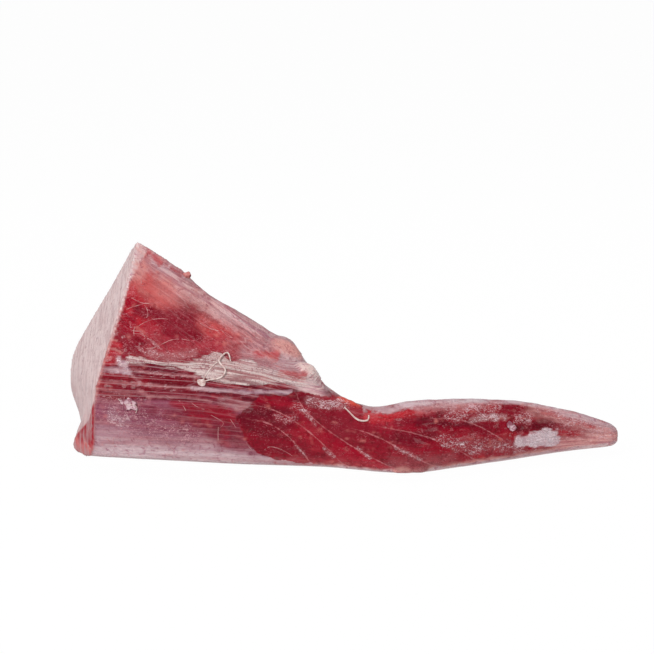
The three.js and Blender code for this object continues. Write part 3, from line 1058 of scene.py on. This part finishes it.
sheet_wave = cloudy(stretched(grain_here, (110, 13, 40)), 1.0, 1.0, 0.3)
across_here = step("SeparateXYZ", {0: grain_here}, 1)
sheet = maths("ADD", times(across_here, SHEETS_PER_GRAIN), times(sheet_wave, 3.0))
sheet = apart(maths("FRACT", sheet), 0.5)
sheet_dark = times(soft_step(sheet, 0.2, 0.42), banded_here, 0.5)
colour = mix(sheet_dark, colour, darker(colour, 0.6, 0.32, 0.5))
sheet_pale = times(soft_step(sheet, 0.12, 0.02), banded_here, 0.3)
colour = mix(sheet_pale, colour, FINE["sheet_line"], "LIGHTEN")
print("strands, creases and sheets drawn")

# %% [markdown]
# The block number is whole on each sinew line. So its distance from the nearest whole number, times the
# width of the block, is the distance from the line in millimetres. A little wobble and a few gaps keep
# the line from looking ruled.

# %% The sinew lines
block_here = attribute(tree, "block")
off_line = apart(block_here, maths("ROUND", block_here))
off_line = times(off_line, attribute(tree, "block_width"))
wobble = maths("SUBTRACT", cloudy(spot, 0.45, 3.0), 0.5)
off_line = maths("ADD", off_line, times(wobble, 1.6))
line = times(soft_step(off_line, 0.5, 0.05), attribute(tree, "septum_shown"))
line = times(line, soft_step(cloudy(spot, 0.11, 3.0), 0.32, 0.6, 0.25, 0.9))
colour = mix(line, colour, FINE["sinew_line"])
print("sinew lines drawn")

# %% [markdown]
# Film is a thin veil of streaks. Where it is thick on bare muscle, mostly in the painted highlight near
# the end of the tail, it shows small dark dots that break the highlight up. Small pale specks are painted
# glints that stand for the wet highlights, some of them flecks of pale tissue, and there are more of them
# and whiter ones where the glints field is high.

# %% Film and specks
crackle = turned(spot, 28, (0.6, 1, 1.2))
glinting = soft_step(glints_here, 0.3, 1.0)
# The pale specks are painted glints that stand for wet highlights.
painted_glints = use(flecks, Place=crackle, Size=0.8, Amount=glints_here)
painted_glints = times(painted_glints, soft_step(glints_here, 0.02, 0.3))
veil = use(streaks, Grain=grain_here, Length=9.0, Width=1.6, From=0.38, To=0.62)
colour = mix(times(veil, film_here, 0.4), colour, FINE["veil"])
glint_share = times(painted_glints, meat_here, soft_step(glints_here, 0.3, 1.0, 0.5, 0.85))
glint_colour = mix(glinting, FINE["pink_glint"], FINE["white_glint"])
colour = mix(glint_share, colour, glint_colour, "LIGHTEN")

dots = use(flecks, Place=crackle, Size=0.8, Amount=0.95)
dots = times(dots, bare_here, soft_step(film_here, 0.5, 0.9, 0.0, 0.5))
colour = mix(dots, colour, FINE["film_dot"])
print("film and specks laid")

# %% [markdown]
# The sinew band lies over the muscle. It is torn into streaks, with gaps between them and dark specks
# along it. The cut has faint slanting streaks, short dark dashes and soft blotches.

# %% The sinew band and the marks on the cut
torn_grain = stretched(grain_here, (9, 1, 6))
band = use(ragged, Inside=attribute(tree, "sinew_in"), Grain=torn_grain, Fray=1.6, Wave=1.5)
fibre = use(streaks, Grain=grain_here, Length=20.0, Width=1.0, From=0.42, To=0.6)
sinew_colour = mix(times(fibre, 0.42), FINE["sinew"], FINE["sinew_fibre"])
specks = use(flecks, Place=spot, Size=1.3, Amount=0.5)
sinew_colour = mix(times(specks, 0.6), sinew_colour, FINE["sinew_speck"])
gaps = use(streaks, Grain=grain_here, Length=26.0, Width=1.8, From=0.58, To=0.42)
gaps = maths("ADD", 0.28, times(gaps, 0.62))
colour = mix(times(band, gaps), colour, sinew_colour)

slant = cloudy(turned(spot, -30, (0.9, 0.08, 0.06)), detail=4.0)
slant = soft_step(slant, 0.46, 0.62, 0.0, 0.6)
dash = cloudy(turned(spot, -30, (1.1, 0.4, 0.28)), distortion=0.6)
dash = soft_step(dash, 0.6, 0.68, 0.0, 0.6)
blotch = soft_step(cloudy(spot, 0.3, 5.0, 0.7), 0.5, 0.66, 0.0, 0.35)
for mark, fine in ((slant, "cut_streak"), (dash, "cut_dash"), (blotch, "cut_blotch")):
    colour = mix(times(mark, cut_here), colour, FINE[fine])
print("band and cut marked")

# %% [markdown]
# Flesh lets a little light in, so it has a small Subsurface share that reaches furthest in red. A thin
# smooth coat stands for the water on it. The cut is duller and smoother.

# %% Gloss and bump
for name, value in {
    "IOR": 1.38,
    "Subsurface Weight": 0.06,
    "Subsurface Radius": (1.0, 0.35, 0.25),
    "Subsurface Scale": 3 * MM,
    "Specular IOR Level": 0.12,
    "Coat Weight": 0.16,
    "Coat Roughness": 0.05,
    "Sheen Weight": 0.1,
    "Sheen Roughness": 0.3,
}.items():
    shader.inputs[name].default_value = value
dull = soft_step(cloudy(spot, 0.16, 3.0), 0.3, 0.7, 0.1, 0.24)
dull = maths("ADD", dull, times(cut_here, 0.2))
height = maths("ADD", times(thin, 0.4), times(cloudy(spot, 0.6, 3.0, 0.6), 2.6))
height = times(height, maths("SUBTRACT", 1.0, times(cut_here, 0.8)))
height = maths("ADD", height, times(painted_glints, soft_step(glints_here, 0.15, 0.5, 0.0, 0.35)))
height = maths("ADD", height, times(band, 0.5))
bump = step("Bump", {"Height": height, "Strength": 0.8, "Distance": 0.5 * MM})
tree.links.new(colour, shader.inputs["Base Color"])
tree.links.new(dull, shader.inputs["Roughness"])
tree.links.new(bump, shader.inputs["Normal"])
skin.materials.append(flesh_material)
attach(flesh, "root")
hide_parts("nape")
print("flesh material has", len(tree.nodes), "nodes")

# %% [markdown]
# A knife always leaves a few loose bits: threads of sinew, fine stray threads, torn flakes, and the
# curled end of the strip along the ridge. All of them lie on the skin, so rays shot at it from the
# front tell where it is. They share one kind of wet finish.

# %% Ground and finish for the loose bits
RAY_START = -30
RAY_STEP = 0.5
RAY_TRIES = 80
faces = [tuple(polygon.vertices) for polygon in skin.polygons]
ground = BVHTree.FromPolygons([tuple(point) for point in shaped], faces)


def on_skin(along, up, above):
    """The point of the skin seen from the front at along and up, lifted off it by some millimetres."""
    inwards = RAY_STEP if up < 10 else -RAY_STEP
    for tries in range(RAY_TRIES):
        start = place(along, RAY_START, up + tries * inwards)
        point, normal, _, _ = ground.ray_cast(start, Vector((0, 1, 0)))
        if point:
            return point + normal * above * MM
    raise ValueError(f"no skin near {along}, {up}")


def loose_piece(name, data, material):
    """Makes a finished mesh or curve a piece that rides on the fish."""
    data.materials.append(material)
    made = add_object(name, data)
    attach(made, "root")


def finished_mesh(name, shape):
    """Turns a bmesh into a softly shaded mesh."""
    mesh = mesh_from(name, shape)
    smooth_shaded(mesh)
    return mesh


def wet_material(name, first, second, scale, roughness):
    """A wet finish whose colour runs from one tone to the other in small patches."""
    material, tree, shader = empty_material(name)
    waves = cloudy(node(tree, "TexCoord").outputs["Object"], scale / MM, 4.0)
    patches = mix(soft_step(waves, 0.4, 0.6), linear(*first), linear(*second))
    bump = step("Bump", {"Height": waves, "Strength": 0.6, "Distance": 0.4 * MM})
    tree.links.new(patches, shader.inputs["Base Color"])
    tree.links.new(bump, shader.inputs["Normal"])
    shader.inputs["Roughness"].default_value = roughness
    shader.inputs["Specular IOR Level"].default_value = 0.3
    return material


sinew_material = wet_material("sinew", (226, 208, 202), (206, 170, 166), 0.5, 0.3)
film_material = wet_material("film", (208, 174, 182), (150, 84, 100), 0.5, 0.28)
vein_material = wet_material("vein", (206, 158, 158), (176, 100, 104), 0.3, 0.3)
curl_material = wet_material("torn_flesh", (204, 128, 124), (120, 10, 26), 0.35, 0.25)
print("ground of", len(faces), "faces and 4 wet finishes")

# %% [markdown]
# Threads are thin tubes along a smooth line, thinner at both ends. A curve with a bevel makes that from
# a few points. The points stand off the skin by different heights, so the thread lies loosely. An entry
# holds the radius and the height in millimetres, and the path.

# %% Threads of sinew
THREADS = {
    "sinew_loop": (0.6, 0.8, (
        (95, 53.5), (98, 55.4), (103, 55.8), (107, 57), (109.8, 60), (108, 62.8), (104, 65), (106.5, 67.5),
        (110.2, 70.4), (111.2, 67.5), (112, 65),
    )),
    "loop_side": (0.45, 0.5, ((95.5, 55), (97.2, 58.6), (99.6, 62.4), (104.2, 65))),
    "notch_thread": (0.6, 0.7, (
        (182, 39.5), (185.5, 36.5), (188.5, 34), (192, 32.5), (195.5, 32.2), (197.3, 33.2), (197, 34.6),
    )),
    "flake_thread": (0.35, 0.4, ((42, 41), (46, 37), (51, 39), (55, 36.5), (53, 33))),
}


def thread(name, radius, above, points, material):
    """A thin tube of that radius through (along, up) points on the skin, lifted off it by some mm."""
    curve = bpy.data.curves.new(name, "CURVE")
    curve.dimensions = "3D"
    curve.bevel_depth = radius * MM
    curve.bevel_resolution = 2
    curve.resolution_u = 5
    curve.use_fill_caps = True
    spline = curve.splines.new("NURBS")
    spline.points.add(len(points) - 1)
    for i, (a, u) in enumerate(points):
        lifted = above * (1 + 0.8 * math.sin(2.1 * i))
        spline.points[i].co = (*on_skin(a, u, lifted), 1)
        spline.points[i].radius = 0.45 + 0.55 * math.sin(math.pi * (i + 0.4) / len(points))
    spline.order_u = 4
    spline.use_endpoint_u = True
    loose_piece(name, curve, material)


for name, (radius, above, points) in THREADS.items():
    thread(name, radius, above, points, sinew_material)
print(len(THREADS), "threads of sinew")

# %% [markdown]
# The stray threads are finer and lie half sunk in the wet surface.

# %% Fine stray threads
VEIN_RADIUS = 0.22
VEIN_ABOVE = -0.04
VEINS = (
    ((43, 100), (48, 99), (52, 97), (56, 95), (62, 95.4), (67, 96)),
    ((40, 90.5), (45, 91.5), (49, 93.5), (52, 94), (56, 95)),
    ((54, 83), (58, 85.5), (64, 87), (69, 87.2), (72, 86.6)),
    ((57, 94.5), (59.5, 92), (60, 89), (58.6, 87.5)),
    ((54, 69.5), (60, 71), (63, 70.8), (66, 72), (72, 75), (78, 77), (86, 75.5)),
    ((92, 84), (98, 80.6), (104, 79.6)),
    ((49.5, 80.4), (53, 79.8), (56.5, 80.2)),
    ((50.5, 78.8), (53.4, 78.4), (57, 78.7)),
    ((51.3, 82), (50.6, 79.8), (51.2, 77.4)),
    ((53, 105.8), (54.6, 105.2), (56.5, 105.3)),
    ((54.3, 110), (54.9, 108), (54.5, 106)),
    ((104.6, 27), (104.1, 22), (104.4, 16)),
    ((100, 34), (105, 31.6), (109, 30), (107, 27.4), (105, 26)),
    ((112, 32), (117, 25), (121, 18), (125, 13)),
    ((33, 18), (34, 15.4), (36, 13), (40, 10)),
    ((39, 17), (37.6, 14.6), (38.3, 12)),
    ((72, 15), (73.6, 11.8), (77, 10)),
    ((80, 42), (83, 39), (84.4, 36)),
    ((88, 41), (92, 38), (96, 37.4)),
    ((133, 13), (134.5, 15.6), (140, 15.6), (146, 12.6), (150, 9.5)),
    ((330, 20), (334, 18.4), (336, 17), (341, 12)),
)
for i, path in enumerate(VEINS):
    thread(f"vein_{i + 1}", VEIN_RADIUS, VEIN_ABOVE, path, vein_material)
print(len(VEINS), "stray threads")

# %% [markdown]
# Flakes of film and the flat knot of the loop are thin torn sheets. Each starts as a small grid on the
# skin. What lies outside its ragged outline is deleted, the rim curls up or down, and it is made solid.
# An entry holds the lift, the thickness and the curl in millimetres, a seed and the outline.

# %% Torn flakes
FLAKES = {
    "torn_flake": (film_material, 0.5, 0.3, 0.8, 3, (
        (43, 40), (46.5, 41), (49, 42.2), (51.5, 40.6), (54, 39.5), (53, 37.5), (54, 35), (50, 35.4),
        (47, 34.2), (45, 37),
    )),
    "loop_knot": (sinew_material, 0.5, 0.5, -0.3, 5, (
        (91.5, 54.5), (94, 55.5), (97, 54.5), (96.5, 52), (94.5, 50.8), (92.5, 52),
    )),
    "tail_flake": (film_material, 0.4, 0.4, 0.3, 8, (
        (282.5, 27), (284.5, 28.2), (286.5, 26), (289, 23.5), (287.5, 22.3), (284, 24),
    )),
}
FLAKE_CELLS = 28
FLAKE_MARGIN = 1


def spokes(outline, middle):
    """The turns and the reaches of an outline's points seen from its middle, over three laps."""
    seen = [(math.atan2(u - middle.y, a - middle.x), math.dist((a, u), middle)) for a, u in outline]
    return zip(*sorted((turn + lap * math.tau, reach) for turn, reach in seen for lap in (-1, 0, 1)))


def flake(name, material, above, thickness, curl, seed, outline):
    """A thin torn sheet on the skin: a small grid, cut to a ragged outline, its rim curling by some mm."""
    shape = bmesh.new()
    bmesh.ops.create_grid(shape, x_segments=FLAKE_CELLS, y_segments=FLAKE_CELLS, size=1)
    (a0, a1), (u0, u1) = [(min(v) - FLAKE_MARGIN, max(v) + FLAKE_MARGIN) for v in zip(*outline)]
    middle = Vector((sum(p[0] for p in outline), sum(p[1] for p in outline))) / len(outline)
    turns, reaches = spokes(outline, middle)
    outside = []
    for vertex in shape.verts:
        a = (a0 + a1) / 2 + vertex.co.x * (a1 - a0) / 2
        u = (u0 + u1) / 2 + vertex.co.y * (u1 - u0) / 2
        offset = Vector((a, u)) - middle
        reach = np.interp(math.atan2(offset.y, offset.x), turns, reaches)
        share = offset.length / (reach * (1 + 0.22 * noise.noise(Vector((a / 1.6, u / 1.6, seed)))))
        if share > 1:
            outside.append(vertex)
        ripple = 0.35 * noise.noise(Vector((a / 2.5, u / 2.5, seed + 5)))
        vertex.co = on_skin(a, u, above + curl * min(share, 1.2) ** 3 + ripple)
    bmesh.ops.delete(shape, geom=outside, context="VERTS")
    loose = [vertex for vertex in shape.verts if not vertex.link_faces]
    bmesh.ops.delete(shape, geom=loose, context="VERTS")
    every_axis = {f"use_axis_{axis}": True for axis in "xyz"}
    bmesh.ops.smooth_vert(shape, verts=shape.verts, factor=0.5, **every_axis)
    bmesh.ops.solidify(shape, geom=shape.faces[:], thickness=thickness * MM)
    bmesh.ops.recalc_face_normals(shape, faces=shape.faces)
    loose_piece(name, finished_mesh(name, shape), material)


for name, options in FLAKES.items():
    flake(name, *options)
print(len(FLAKES), "flakes")

# %% [markdown]
# The strip along the ridge ends in a small curl of torn flesh. It is a sphere, longer than it is deep,
# that noise swells and a pit hollows, set into the ridge from the front.

# %% The curled strip along the ridge
CURL_AT = 82
CURL_RADIUS = 2.1
CURL_SHIFT = Vector((0.8, -2.6, -2.2))
CURL_SIZES = (1.25, 0.9, 1)
PIT_AT = Vector((-1.4, -1.4, 0.9))
PIT_RADIUS = 1.3
PIT_DEPTH = 1.1

ridge_point = place(CURL_AT, *[float(np.interp(CURL_AT, slices, values[tops])) for values in (deep, up)])
shape = bmesh.new()
bmesh.ops.create_uvsphere(shape, u_segments=20, v_segments=14, radius=CURL_RADIUS * MM)
for vertex in shape.verts:
    at = vertex.co / MM
    swell = 1 + 0.35 * noise.noise(at * 0.55 + Vector((4, 1, 2)))
    vertex.co = Vector(part * size for part, size in zip(vertex.co, CURL_SIZES)) * swell
    pit = (at - PIT_AT).length
    vertex.co -= vertex.co.normalized() * MM * PIT_DEPTH * max(0, 1 - pit / PIT_RADIUS)
bmesh.ops.translate(shape, verts=shape.verts, vec=ridge_point + CURL_SHIFT * MM)
loose_piece("ridge_curl", finished_mesh("ridge_curl", shape), curl_material)
print("curl made at", [round(value, 3) for value in ridge_point])
